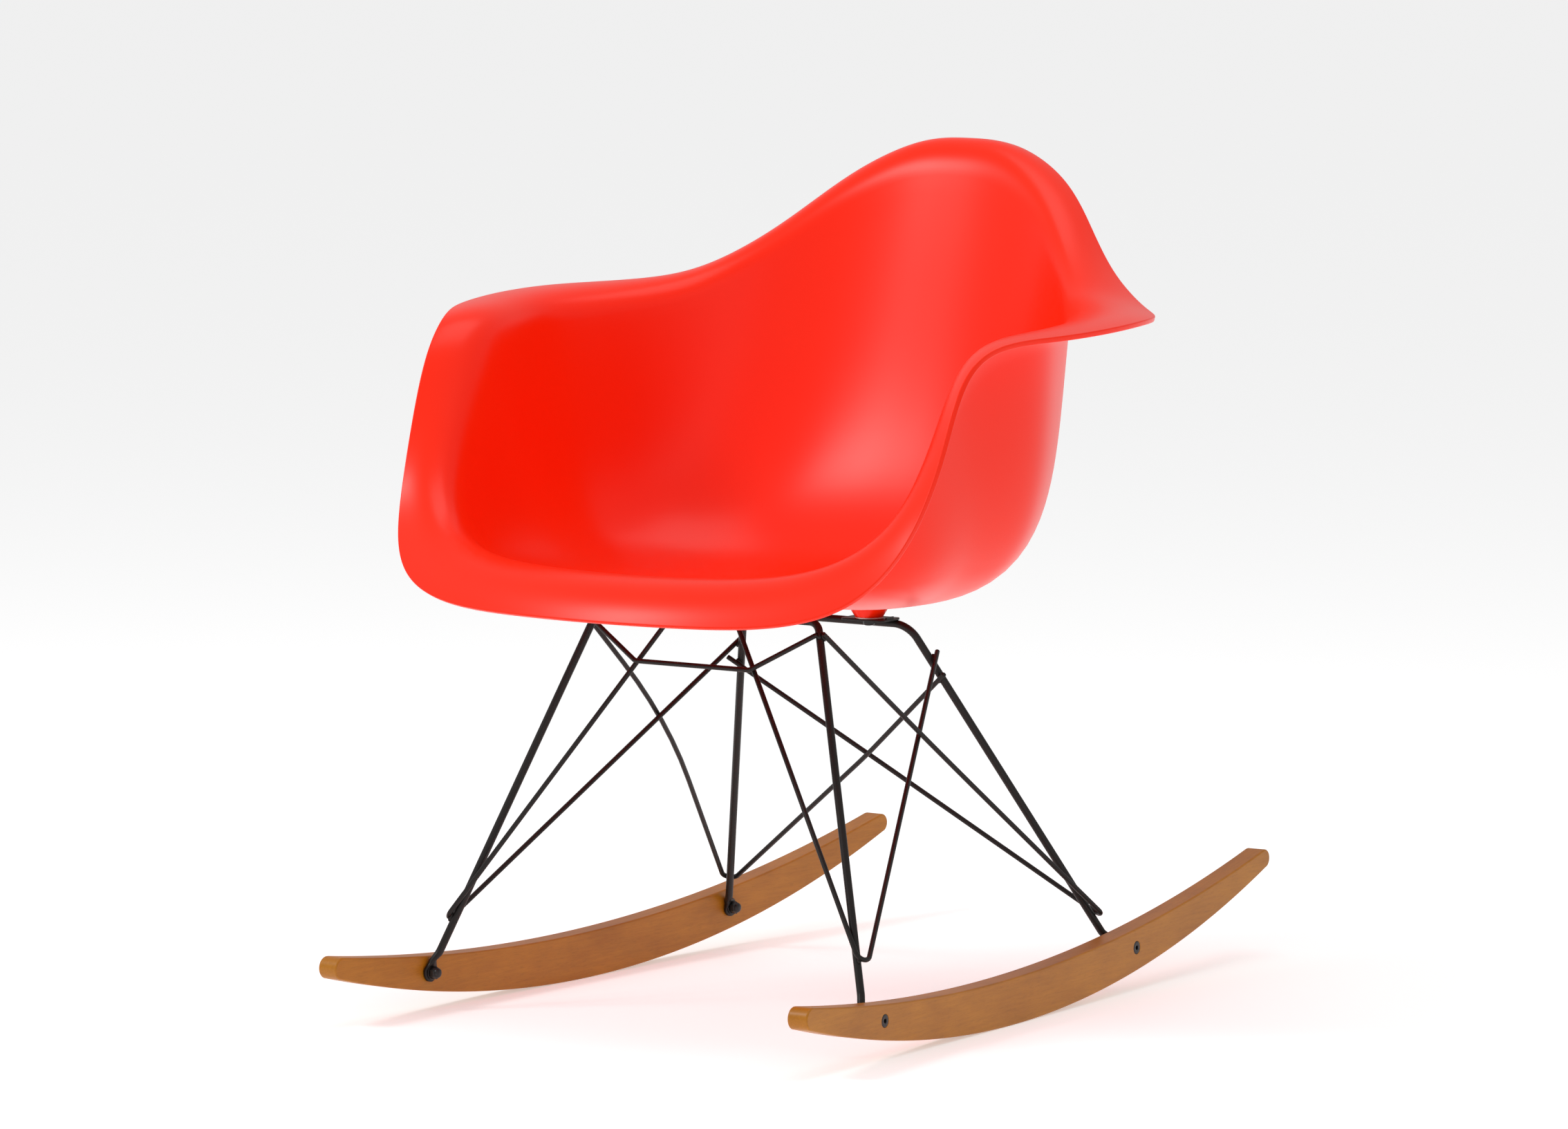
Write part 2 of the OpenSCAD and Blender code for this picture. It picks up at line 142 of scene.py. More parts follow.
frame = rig.load()
CAD_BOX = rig.bounds()

# ---------------------------------------------------------------- sizes, in mm
MM = 0.001
MERGE = 1e-5
BODY = "root"

# Guide stations of the shell, front centre round the left arm to the back centre: rim edge,
# rolled crest corner, bowl foot corner, and how much of the wall comes before the roll.
STATIONS = [
    ((0, -309, 374), (0, -284, 424), (0, -196, 390.5), 0.42),
    ((85, -303, 374), (80, -279, 425), (68, -193, 390.5), 0.42),
    ((165, -286, 375), (154, -262, 430), (134, -183, 389), 0.45),
    ((224, -264, 388), (204, -237, 446), (184, -165, 386.5), 0.52),
    ((257, -238, 416), (234, -202, 475), (214, -140, 382.5), 0.62),
    ((274, -207, 460), (246, -172, 516), (231, -106, 378), 0.72),
    ((282, -179, 520), (249, -146, 562), (236, -74, 373.5), 0.76),
    ((283, -156, 583), (250, -116, 604), (239, -46, 370.5), 0.80),
    ((291, -116, 616), (256, -80, 625), (242, -20, 368.5), 0.84),
    ((321, -52, 618), (265, -32, 631), (243, 6, 367.5), 0.86),
    ((334, 20, 621.5), (268, 11, 635), (242, 32, 367), 0.86),
    ((328, 88, 624.5), (250, 60, 638), (229, 63, 366), 0.86),
    ((300, 148, 621.5), (229, 109, 643), (212, 93, 365.5), 0.86),
    ((255, 199, 622), (200, 156, 650), (189, 119, 365.5), 0.87),
    ((205, 229, 645.5), (173, 194, 671), (158, 140, 365.5), 0.88),
    ((164, 259, 680), (142, 226, 696), (125, 155, 365.5), 0.89),
    ((116, 294, 727.5), (102, 259, 734), (90, 164, 365.5), 0.90),
    ((50, 311, 758), (46, 281, 766), (45, 170, 365.5), 0.90),
    ((0, 312, 758), (0, 283, 768), (0, 171, 365.5), 0.90),
]
SEAT_MID = np.array([0.0, -20.0, 366.5])
# how square the bowl is in section, and how softly the middle of the seat starts to dish
BOWL_POWER = 4.4
DISH = 0.15
# rows of points from the middle of the seat up the wall, and over the rolled rim
BOWL_ROWS = 20
ROLL_ROWS = 18
# how far the skin runs in from the rim before its edge is rounded, in edge radii
RIM_LEAD = 1.6

# Bars and mounts
LEG_D = 7
FRONT_BAR = (116.5, -121.5, 362.5)
REAR_BAR = (89, 66, 340)
BOSS_INSET = 14
FRONT_BOSS_X = 72
REAR_BOSS_X = 56
PLATE_T = 2
PAD_T = 1
PLATE_W = 26
PLATE_LEN = 46
PLATE_CORNER = 4
PLATE_EDGE = 0.3
PLATE_BORE_R = 3.3
TAB_BEND = 2.2
TAB_HALF_WIDTH = 6
TAB_TOP = 4
BOSS_D = 26
BOSS_ROOT_D = 46
INSERT_R = 7.2
INSERT_DEPTH = 4.7
# height that the tops of the front and rear bosses reach, inside the wall of the shell
FRONT_WALL = 375
REAR_WALL = 363.6

# Rockers
ROLL_R = 1397
UPPER_R = 2250
UPPER_BACK = 35
ROCKER_DEPTH = 42
ROCKER_T = 20
ROCKER_FRONT = -353
ROCKER_REAR = 478
HALF_TRACK = 243
TOE = math.radians(2.6)
BOLTS = ((-222, 35), (225, 39.5))

# Feet, braces and ties
TAB_T = 3.5
TAB_W = 17
PRESS_ABOVE = 2
PRESS_RUN = 9
PRESS_STEPS = 6
# over how much of the bar the frame turns from one foot's flat way to the other's
TURN_SPAN = 200
FOOT_IN = 4.3
FOOT_REACH = 9
FRONT_KNEE = (8, 6, 19)
REAR_KNEE = (9.5, 12, 13)
FRONT_KNEE_BEND = 25
REAR_KNEE_BEND = 12
FRONT_BEND = 12
REAR_BEND = 22
WIRE_D = 4.5
HAIRPIN_R = 8
FIT = 0.15
CONTACT = LEG_D / 2 + WIRE_D / 2 + FIT
FRONT_APEX = (4.7, -1.3, 16.2)
REAR_APEX = (7.1, 6.2, 7.8)
FRONT_BRACE_TOP_X = 32
FRONT_BRACE_Z = 307.4
REAR_BRACE_Z = 349.5
CROSS_Z = 291.5
TIE_Z = 353
TIE_OUT = 2
BAR_OVER = 4
FRONT_OVER = 9
CROSS_OVER = 12
CROSS_GAP = 3
CROSS_SHIFT = (0, 5.6, -3.7)
SWAY = (-28, -28.2, 37.8)
SWAY_R = 1000
TIE_CORNER = (61, -147, 319)
TIE_BEND = 8
BEAD_STRETCH = 2.2
RIPPLE_PITCH = 1.2
RIPPLE_DEPTH = 0.05

# Camera: place in metres, angles in degrees, lens in mm
CAMERA_AT = (4.5736, -6.8255, 1.3279)
CAMERA_DOWN = 6.48
CAMERA_TURN = 33.83
CAMERA_LENS = 212.4
CAMERA_SENSOR = 36


# ---------------------------------------------------------------- modelling helpers
def only(piece):
    """Makes one piece the only one selected, so that an operator acts on nothing else."""
    for other in bpy.context.selected_objects:
        other.select_set(False)
    piece.select_set(True)
    bpy.context.view_layer.objects.active = piece


def clear_selection():
    for other in bpy.context.selected_objects:
        other.select_set(False)


def close_up(piece):
    """Merges doubled points and turns all faces outwards."""
    only(piece)
    bpy.ops.object.mode_set(mode="EDIT")
    bpy.ops.mesh.select_all(action="SELECT")
    bpy.ops.mesh.remove_doubles(threshold=MERGE)
    bpy.ops.mesh.normals_make_consistent(inside=False)
    bpy.ops.object.mode_set(mode="OBJECT")


def wrap(name, place):
    """A grid laid over a surface: place[row][column] is a point in mm, the last column meeting the first."""
    rows, columns = len(place) - 1, len(place[0])
    clear_selection()
    bpy.ops.mesh.primitive_grid_add(x_subdivisions=columns, y_subdivisions=rows, size=1)
    piece = bpy.context.object
    piece.name = piece.data.name = name
    for point in piece.data.vertices:
        column = round((point.co.x + 0.5) * columns) % columns
        row = round((point.co.y + 0.5) * rows)
        point.co = Vector(place[row][column]) * MM
    close_up(piece)
    return piece


def modify(piece, kind, **settings):
    """Adds one modifier with its settings and applies it."""
    only(piece)
    step = piece.modifiers.new(kind.title(), kind)
    for key, value in settings.items():
        setattr(step, key, value)
    bpy.ops.object.modifier_apply(modifier=step.name)


def cut_away(piece, tools):
    """Cuts the tools out of the piece and removes them."""
    for tool in tools:
        modify(piece, "BOOLEAN", object=tool, operation="DIFFERENCE", solver="EXACT")
        bpy.data.objects.remove(tool)


def copies(model, places, name):
    """One piece made of a copy of the model at each place, the model itself removed."""
    clear_selection()
    for i, place in enumerate(places):
        twin = model.copy()
        twin.data = model.data.copy()
        bpy.context.collection.objects.link(twin)
        twin.data.transform(place)
        if place.determinant() < 0:
            twin.data.flip_normals()
        twin.select_set(True)
        if i == 0:
            bpy.context.view_layer.objects.active = twin
    if len(places) > 1:
        bpy.ops.object.join()
    group = bpy.context.view_layer.objects.active
    group.name = group.data.name = name
    bpy.data.objects.remove(model)
    return group


def done(piece, finish, slot, *nodes, angle=35):
    """Smooths the piece, gives it its finish and ties it to the frame."""
    only(piece)
    bpy.ops.object.shade_smooth_by_angle(angle=math.radians(angle))
    piece.data.materials.clear()
    piece.data.materials.append(finish)
    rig.ride(piece, BODY)
    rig.slot(piece, slot)
    if nodes:
        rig.replaces(piece, *nodes)


def repaint(node, finish):
    """A CAD node keeps its shape and takes a better finish."""
    piece = frame["nodes"][node]
    for place in piece.material_slots:
        place.material = finish


def turned(name, profile, sides=48, hexed=()):
    """A piece turned about Z from (radius, height) points in mm.

    Rows in hexed are six-sided, and their radius is to the middle of a flat.
    """
    rows = []
    for i, (radius, height) in enumerate(profile):
        ring = []
        for k in range(sides):
            a = 2 * math.pi * k / sides
            r = radius
            if i in hexed:
                r = radius / math.cos((a % (math.pi / 3)) - math.pi / 6)
            ring.append((r * math.cos(a), r * math.sin(a), height))
        rows.append(ring)
    return wrap(name, rows)


# ---------------------------------------------------------------- rod paths
def rod_path(corners, radii, step=math.radians(5)):
    """Points of a rod through several corners with a bend radius at each inner one."""
    corners = [Vector(c) for c in corners]
    path = [corners[0]]
    for i in range(1, len(corners) - 1):
        before, at, after = corners[i - 1 : i + 2]
        go, leave = (at - before).normalized(), (after - at).normalized()
        turn = go.angle(leave)
        r = radii[i - 1]
        middle = at + (leave - go).normalized() * r / math.cos(turn / 2)
        start = at - go * r * math.tan(turn / 2)
        spoke = start - middle
        axis = go.cross(leave).normalized()
        count = max(6, math.ceil(turn / step))
        for k in range(count + 1):
            path.append(middle + Matrix.Rotation(turn * k / count, 3, axis) @ spoke)
    path.append(corners[-1])
    return path


def section(centre, tangent, across, wide, thick, power, sides):
    """One ring of a rod: a circle at power 2, a rounded bar at higher powers. wide lies along across."""
    thin_way = tangent.cross(across).normalized()
    wide_way = thin_way.cross(tangent).normalized()
    ring = []
    for k in range(sides):
        a = 2 * math.pi * k / sides
        c, s = math.cos(a), math.sin(a)
        reach_w = math.copysign(abs(c) ** (2 / power), c) * wide
        reach_t = math.copysign(abs(s) ** (2 / power), s) * thick
        ring.append(centre + wide_way * reach_w + thin_way * reach_t)
    return ring


# rounding of a cut rod end: distance in from the end and width, both in rod radii
END_ROUND = ((0, 0), (0, 0.55), (0.06, 0.8), (0.2, 0.95), (0.38, 1))


def rod(name, path, diameter, across, sides=20):
    """A round rod along a path with lightly rounded cut ends. across is never along the path."""
    r = diameter / 2
    rows = []
    last = len(path) - 1
    for i, point in enumerate(path):
        tangent = (path[min(i + 1, last)] - path[max(i - 1, 0)]).normalized()
        ring = [(point, r)]
        if i == 0:
            ring = [(point + tangent * r * d, r * f) for d, f in END_ROUND]
        if i == last:
            ring = [(point - tangent * r * d, r * f) for d, f in reversed(END_ROUND)]
        rows += [section(p, tangent, Vector(across), f, f, 2, sides) for p, f in ring]
    return wrap(name, rows)


def to_world(p, side):
    """A point given beside a rocker: 0 on its outer face and negative inboard, then along it, then up."""
    return Vector((
        side * (HALF_TRACK + p[0] * math.cos(TOE) - p[1] * math.sin(TOE)),
        p[0] * math.sin(TOE) + p[1] * math.cos(TOE),
        p[2],
    ))


def rocker_matrix(side):
    """Places something modelled beside the left rocker on either side, in metres."""
    flip = Matrix.Diagonal((side, 1, 1, 1))
    return flip @ Matrix.Translation((HALF_TRACK * MM, 0, 0)) @ Matrix.Rotation(TOE, 4, "Z")


def foot_turn(front):
    """How a foot leans, along the rocker and up: upright in front, towards its knee behind."""
    if front:
        return 0, 1
    _, along, up = REAR_KNEE
    reach = math.hypot(along, up)
    return -along / reach, up / reach


def foot_point(front, side, inboard, reach):
    """A point of a foot: how far inboard of the rocker, and how far up the foot from its bolt."""
    s, z = BOLTS[0 if front else 1]
    along, up = foot_turn(front)
    return to_world((-ROCKER_T - inboard, s + along * reach, z + up * reach), side)


def knee(front, side):
    s, z = BOLTS[0 if front else 1]
    inboard, along, up = FRONT_KNEE if front else REAR_KNEE
    return to_world((-ROCKER_T - inboard, s + (along if front else -along), z + up), side)


def bar_end(front, side):
    x, y, z = FRONT_BAR if front else REAR_BAR
    return Vector((side * x, y, z))


def leg_way(front, side):
    return (bar_end(front, side) - knee(front, side)).normalized()


def leg_at(front, side, z):
    start, way = knee(front, side), leg_way(front, side)
    return start + way * (z - start.z) / way.z


def apex(front, side):
    x, y, z = FRONT_APEX if front else REAR_APEX
    return knee(front, side) + Vector((side * x, y, z))


def touch(start, front, side, z, lean):
    """Where a wire from a point passes a leg at a height, a contact distance off its middle line."""
    at = leg_at(front, side, z)
    return at + leg_way(front, side).cross((at - start).normalized()).normalized() * CONTACT * lean


def beyond(start, at, more):
    return at + (at - start).normalized() * more


def front_brace_corners(side):
    foot = apex(True, side)
    top = Vector((side * FRONT_BRACE_TOP_X, FRONT_BAR[1] - CONTACT - 2 * FIT, FRONT_BAR[2]))
    back = touch(foot, False, side, FRONT_BRACE_Z, -side)
    return [beyond(foot, top, BAR_OVER), foot, beyond(foot, back, FRONT_OVER)], [top, back]


def rear_brace_corners(side):
    foot = apex(False, side)
    fore = touch(foot, True, side, REAR_BRACE_Z, side)
    sway = (foot + fore) / 2 + Vector((side * SWAY[0], SWAY[1], SWAY[2]))
    over = touch(foot, False, -side, CROSS_Z, side)
    share = foot.x / (foot.x - over.x)
    meet = foot + (over - foot) * share + Vector(CROSS_SHIFT) + Vector((0, side * CROSS_GAP, 0))
    corners = [beyond(sway, fore, BAR_OVER), sway, foot, meet, beyond(meet, over, CROSS_OVER)]
    return corners, [fore, over]


# ---------------------------------------------------------------- shell surface
def spline_loop(points, steps):
    """A smooth closed loop guided by the points, as a uniform cubic B-spline."""
    t = np.arange(steps) / steps
    weights = np.array([
        (1 - t) ** 3,
        3 * t**3 - 6 * t**2 + 4,
        -3 * t**3 + 3 * t**2 + 3 * t + 1,
        t**3,
    ]) / 6
    rows = []
    for i in range(len(points)):
        four = [points[(i + k) % len(points)] for k in (-1, 0, 1, 2)]
        rows.append(sum(w[:, None] * p[None, :] for w, p in zip(weights, four)))
    return np.concatenate(rows)


def full_loop(column):
    """The guide points of one column, carried round the other half of the chair."""
    half = [np.atleast_1d(np.array(row[column], float)) for row in STATIONS]
    other = []
    for p in half[-2:0:-1]:
        q = p.copy()
        if len(q) == 3:
            q[0] = -q[0]
        other.append(q)
    return half + other


def shell_rows(steps, bowl, roll):
    """Points of the sitting side, row by row from the middle of the seat to the rim edge."""
    rim, corner, foot, share = (spline_loop(full_loop(k), steps) for k in range(4))
    wall = foot + share * (corner - foot)
    knee_u = 0.5 ** (1 / BOWL_POWER)
    flat = [(u, 1 - (1 - u**BOWL_POWER) ** (1 / BOWL_POWER)) for u in np.linspace(0, knee_u, bowl)]
    rise = [((1 - h**BOWL_POWER) ** (1 / BOWL_POWER), 1 - h) for h in np.linspace(knee_u, 0, bowl)]
    rows = []
    for u, climb in flat + rise[1:]:
        dish = math.sqrt(u**2 + DISH**2) - DISH * (1 - u)
        run = (foot - SEAT_MID) * np.array([u, u, dish])
        rows.append(SEAT_MID + run + (wall - foot) * climb)
    for t in np.linspace(0, 1, roll + 1)[1:]:
        rows.append((1 - t) ** 2 * wall + 2 * t * (1 - t) * corner + t**2 * rim)
    return np.array(rows)


def unit(v):
    return v / np.maximum(np.linalg.norm(v, axis=-1, keepdims=True), 1e-9)


def shell_section(thickness, edge, steps, bowl, roll):
    """Rows of the whole skin: over the sitting side, round the rim edge, and back under."""
    top = shell_rows(steps, bowl, roll)
    across = np.roll(top, -1, axis=1) - np.roll(top, 1, axis=1)
    outward = np.gradient(top, axis=0)
    down = unit(np.cross(across, outward))
    down[0] = (0, 0, -1)
    way = unit(outward[-1])
    out = list(top[:-1])
    arc = np.linspace(0, math.pi / 2, 5)
    rim, under = top[-1], down[-1]
    out.append(rim - way * edge * RIM_LEAD)
    out += [rim - way * edge * (1 - math.sin(a)) + under * edge * (1 - math.cos(a)) for a in arc]
    far = thickness - edge
    out.append(rim + under * thickness / 2)
    out += [rim - way * edge * (1 - math.cos(a)) + under * (far + edge * math.sin(a)) for a in arc]
    out.append(rim - way * edge * RIM_LEAD + under * thickness)
    out += list((top + thickness * down)[:-1][::-1])
    return out


# ---------------------------------------------------------------- materials
def linear(code):
    """A scene-linear colour from an sRGB hex value."""
    out = []
    for i in (1, 3, 5):
        c = int(code[i : i + 2], 16) / 255
        out.append(c / 12.92 if c <= 0.04045 else ((c + 0.055) / 1.055) ** 2.4)
    return (*out, 1.0)


def new_material(name):
    finish = bpy.data.materials.new(name)
    finish.use_nodes = True
    nodes = finish.node_tree.nodes
    return finish, finish.node_tree, nodes["Principled BSDF"]


def node(tree, kind, links=None, **settings):
    """Adds one node. Settings are its own fields, or inputs where they start with in_; links feed inputs."""
    made = tree.nodes.new(kind)
    for key, value in settings.items():
        if key.startswith("in_"):
            made.inputs[key[3:].replace("_", " ")].default_value = value
        else:
            setattr(made, key, value)
    for place, source in (links or {}).items():
        tree.links.new(source, made.inputs[place])
    return made


def object_space(tree, scale=(1, 1, 1), turn=(0, 0, 0)):
    where = node(tree, "ShaderNodeTexCoord")
    return node(
        tree, "ShaderNodeMapping", {"Vector": where.outputs["Object"]}, in_Scale=scale, in_Rotation=turn
    ).outputs["Vector"]


def moulded_polypropylene(colour):
    """Injection-moulded polypropylene: satin, with a very fine sparked texture and faint waves of painted reflection,
    a slightly paler tint in its colour.
    """
    finish, tree, skin = new_material("moulded_polypropylene")
    place = object_space(tree)
    # texture grain of 0.5 mm, and waves of painted reflection about 60 mm across
    grain = node(tree, "ShaderNodeTexNoise", {"Vector": place}, in_Scale=2000, in_Detail=2)
    waves = node(tree, "ShaderNodeTexNoise", {"Vector": place}, in_Scale=16, in_Detail=1)
    # painted reflection: over the waves the colour turns slightly paler in green and blue
    tint = node(tree, "ShaderNodeMix", {"Factor": waves.outputs["Fac"]}, data_type="RGBA")
    tint.inputs["A"].default_value = colour
    tint.inputs["B"].default_value = (colour[0], colour[1] * 1.12 + 0.002, colour[2] * 1.1 + 0.001, 1)
    tree.links.new(tint.outputs["Result"], skin.inputs["Base Color"])
    sheen = node(
        tree, "ShaderNodeMapRange", {"Value": grain.outputs["Fac"]}, in_To_Min=0.29, in_To_Max=0.35
    )
    tree.links.new(sheen.outputs["Result"], skin.inputs["Roughness"])
    bump = node(
        tree, "ShaderNodeBump", {"Height": grain.outputs["Fac"]}, in_Strength=0.12, in_Distance=0.0001
    )
    tree.links.new(bump.outputs["Normal"], skin.inputs["Normal"])
    skin.inputs["IOR"].default_value = 1.49
    skin.inputs["Specular IOR Level"].default_value = 0.28
    return finish


def black_powder_coat(colour):
    """Baked polyester powder on steel rod: near black, soft sheen, with a light orange peel."""
    finish, tree, skin = new_material("black_powder_coat")
    place = object_space(tree)
    # orange peel of about 1.2 mm
    peel = node(tree, "ShaderNodeTexNoise", {"Vector": place}, in_Scale=830, in_Detail=2)
    tint = node(tree, "ShaderNodeMix", {"Factor": peel.outputs["Fac"]}, data_type="RGBA")
    tint.inputs["A"].default_value = colour
    tint.inputs["B"].default_value = tuple(c * 1.5 for c in colour[:3]) + (1,)
    tree.links.new(tint.outputs["Result"], skin.inputs["Base Color"])
    sheen = node(
        tree, "ShaderNodeMapRange", {"Value": peel.outputs["Fac"]}, in_To_Min=0.34, in_To_Max=0.5
    )
    tree.links.new(sheen.outputs["Result"], skin.inputs["Roughness"])
    bump = node(
        tree, "ShaderNodeBump", {"Height": peel.outputs["Fac"]}, in_Strength=0.35, in_Distance=0.0003
    )
    tree.links.new(bump.outputs["Normal"], skin.inputs["Normal"])
    skin.inputs["Specular IOR Level"].default_value = 0.3
    return finish


def lacquered_maple(dark, light):
    """Sawn maple under satin lacquer: straight fine grain along the rocker, cloudy figure, small flecks."""
    finish, tree, skin = new_material("lacquered_maple")
    along = object_space(tree, scale=(1, 0.05, 1))
    # growth lines 2.5 mm apart, drawn out twenty times along the rocker; cloudy figure 35 mm across
    lines = node(tree, "ShaderNodeTexNoise", {"Vector": along}, in_Scale=400, in_Detail=4, in_Roughness=0.6)
    cloud = node(
        tree, "ShaderNodeTexNoise", {"Vector": object_space(tree, scale=(1, 0.6, 1))},
        in_Scale=28, in_Detail=3,
    )
    # flecks 1 mm wide and 8 mm long
    fleck = node(
        tree, "ShaderNodeTexNoise", {"Vector": object_space(tree, scale=(1, 0.12, 1))},
        in_Scale=1000, in_Detail=1,
    )
    mixed = node(tree, "ShaderNodeMix", {}, data_type="FLOAT", in_Factor=0.55)
    tree.links.new(lines.outputs["Fac"], mixed.inputs["A"])
    tree.links.new(cloud.outputs["Fac"], mixed.inputs["B"])
    ramp = node(tree, "ShaderNodeValToRGB", {"Fac": mixed.outputs["Result"]})
    ramp.color_ramp.elements[0].position = 0.25
    ramp.color_ramp.elements[0].color = dark
    ramp.color_ramp.elements[1].position = 0.75
    ramp.color_ramp.elements[1].color = light
    specks = node(
        tree, "ShaderNodeMapRange", {"Value": fleck.outputs["Fac"]},
        in_From_Min=0.3, in_From_Max=0.44, in_To_Min=0.9, in_To_Max=1.0,
    )
    shade = node(
        tree, "ShaderNodeVectorMath", {0: ramp.outputs["Color"]}, operation="SCALE",
    )
    tree.links.new(specks.outputs["Result"], shade.inputs["Scale"])
    tree.links.new(shade.outputs["Vector"], skin.inputs["Base Color"])
    bump = node(
        tree, "ShaderNodeBump", {"Height": lines.outputs["Fac"]}, in_Strength=0.08, in_Distance=0.0002
    )
    tree.links.new(bump.outputs["Normal"], skin.inputs["Normal"])
    skin.inputs["Roughness"].default_value = 0.42
    skin.inputs["IOR"].default_value = 1.5
    skin.inputs["Specular IOR Level"].default_value = 0.3
    skin.inputs["Coat Weight"].default_value = 0.1
    skin.inputs["Coat Roughness"].default_value = 0.3
    return finish


def blackened_steel(colour):
    """Steel fasteners in black zinc: dark metal, slightly polished by the driver."""
    finish, tree, skin = new_material("blackened_steel")
    place = object_space(tree)
    # handling marks about 1.5 mm across
    marks = node(tree, "ShaderNodeTexNoise", {"Vector": place}, in_Scale=660, in_Detail=3)
    sheen = node(
        tree, "ShaderNodeMapRange", {"Value": marks.outputs["Fac"]}, in_To_Min=0.28, in_To_Max=0.46
    )
    tree.links.new(sheen.outputs["Result"], skin.inputs["Roughness"])
    tint = node(tree, "ShaderNodeMix", {"Factor": marks.outputs["Fac"]}, data_type="RGBA")
    tint.inputs["A"].default_value = colour
    tint.inputs["B"].default_value = tuple(c * 1.6 for c in colour[:3]) + (1,)
    tree.links.new(tint.outputs["Result"], skin.inputs["Base Color"])
    skin.inputs["Metallic"].default_value = 0.7
    return finish


def rubber_pad():
    """Die-cut pale rubber sheet: matt, faintly mottled."""
    finish, tree, skin = new_material("rubber_pad")
    # mottle of about 2 mm
    mottle = node(tree, "ShaderNodeTexNoise", {"Vector": object_space(tree)}, in_Scale=500, in_Detail=3)
    tint = node(tree, "ShaderNodeMix", {"Factor": mottle.outputs["Fac"]}, data_type="RGBA")
    tint.inputs["A"].default_value = linear("#B9B7B0")
    tint.inputs["B"].default_value = linear("#DAD8D2")
    tree.links.new(tint.outputs["Result"], skin.inputs["Base Color"])
    skin.inputs["Roughness"].default_value = 0.75
    skin.inputs["IOR"].default_value = 1.52
    return finish


def turned_brass():
    """Free-cutting brass bush, lathe turned: warm metal with fine turning marks."""
    finish, tree, skin = new_material("turned_brass")
    # turning marks 0.8 mm apart up the bush
    marks = node(
        tree, "ShaderNodeTexNoise", {"Vector": object_space(tree, scale=(0.1, 0.1, 1))},
        in_Scale=1250, in_Detail=1,
    )
    sheen = node(
        tree, "ShaderNodeMapRange", {"Value": marks.outputs["Fac"]}, in_To_Min=0.25, in_To_Max=0.4
    )
    tree.links.new(sheen.outputs["Result"], skin.inputs["Roughness"])
    skin.inputs["Base Color"].default_value = linear("#C9A560")
    skin.inputs["Metallic"].default_value = 1.0
    return finish


def finish_of(name, *colours):
    """The named finish, made once and shared."""
    made = bpy.data.materials.get(name)
    return made or globals()[name](*colours)


# ---------------------------------------------------------------- settings
class ShellSettings(bpy.types.PropertyGroup):
    """The moulded seat"""

    thickness: FloatProperty(name="Wall", description="Wall of the moulding, mm", default=5, min=3, max=8)
    edge: FloatProperty(name="Rim rounding", description="Radius of the rim's two edges, mm", default=1.1)
    steps: IntProperty(name="Steps", description="Points between two guide stations", default=12, min=3)
    colour: FloatVectorProperty(
        name="Colour", description="Colour of the plastic", subtype="COLOR", size=4,
        default=linear("#FF2400"), min=0, max=1,
    )


class FrameSettings(bpy.types.PropertyGroup):
    """The wire base"""

    leg: FloatProperty(name="Leg rod", description="Diameter of the leg rod, mm", default=LEG_D)
    wire: FloatProperty(name="Brace wire", description="Diameter of the brace wire, mm", default=WIRE_D)
    weld: FloatProperty(name="Weld", description="Radius of a weld bead, mm", default=2.1)
    colour: FloatVectorProperty(
        name="Colour", description="Colour of the powder coat", subtype="COLOR", size=4,
        default=linear("#15110F"), min=0, max=1,
    )


class RockerSettings(bpy.types.PropertyGroup):
    """The wooden rockers and their screws"""

    easing: FloatProperty(name="Edge rounding", description="Radius of the rockers' edges, mm", default=1.6)
    dark: FloatVectorProperty(
        name="Dark grain", description="Darker colour of the wood", subtype="COLOR", size=4,
        default=linear("#9A5C0A"), min=0, max=1,
    )
    light: FloatVectorProperty(
        name="Light grain", description="Lighter colour of the wood", subtype="COLOR", size=4,
        default=linear("#BC7A18"), min=0, max=1,
    )
    steel: FloatVectorProperty(
        name="Screws", description="Colour of the blackened screws", subtype="COLOR", size=4,
        default=linear("#2B2A2A"), min=0, max=1,
    )


class StageSettings(bpy.types.PropertyGroup):
    """Floor, light and camera"""

    world: FloatProperty(name="Surround", description="Strength of the pale surround", default=0.54)
    key: FloatProperty(name="Key light", description="Power of the key light", subtype="POWER", default=36)
    floor: FloatProperty(name="Lit floor", description="Glow of the light-table floor", default=0.38)
    fill: FloatProperty(name="Fill light", description="Power of the fill light", subtype="POWER", default=5)
    top: FloatProperty(name="Top light", description="Power of the top light", subtype="POWER", default=22)


SETTINGS = {
    "chair_shell": ShellSettings,
    "chair_frame": FrameSettings,
    "chair_rockers": RockerSettings,
    "chair_stage": StageSettings,
}


def end_name(front):
    return "front" if front else "rear"


def side_name(side):
    return "left" if side > 0 else "right"


def boss_spots():
    """The foot of each boss: front or rear, side, and its place in mm."""
    out = []
    for front in (True, False):
        bar = FRONT_BAR if front else REAR_BAR
        x = FRONT_BOSS_X if front else REAR_BOSS_X
        y = bar[1] + (BOSS_INSET if front else -BOSS_INSET)
        for side in (-1, 1):
            out.append((front, side, Vector((side * x, y, bar[2] + LEG_D / 2 + PLATE_T + PAD_T))))
    return out


def bolt_places():
    """Each rocker bolt: +Z runs inboard from the rocker's outer face."""
    out = []
    for side in (-1, 1):
        for s, z in BOLTS:
            spot = Matrix.Translation((0, s * MM, z * MM)) @ Matrix.Rotation(-math.pi / 2, 4, "Y")
            out.append(rocker_matrix(side) @ spot)
    return out


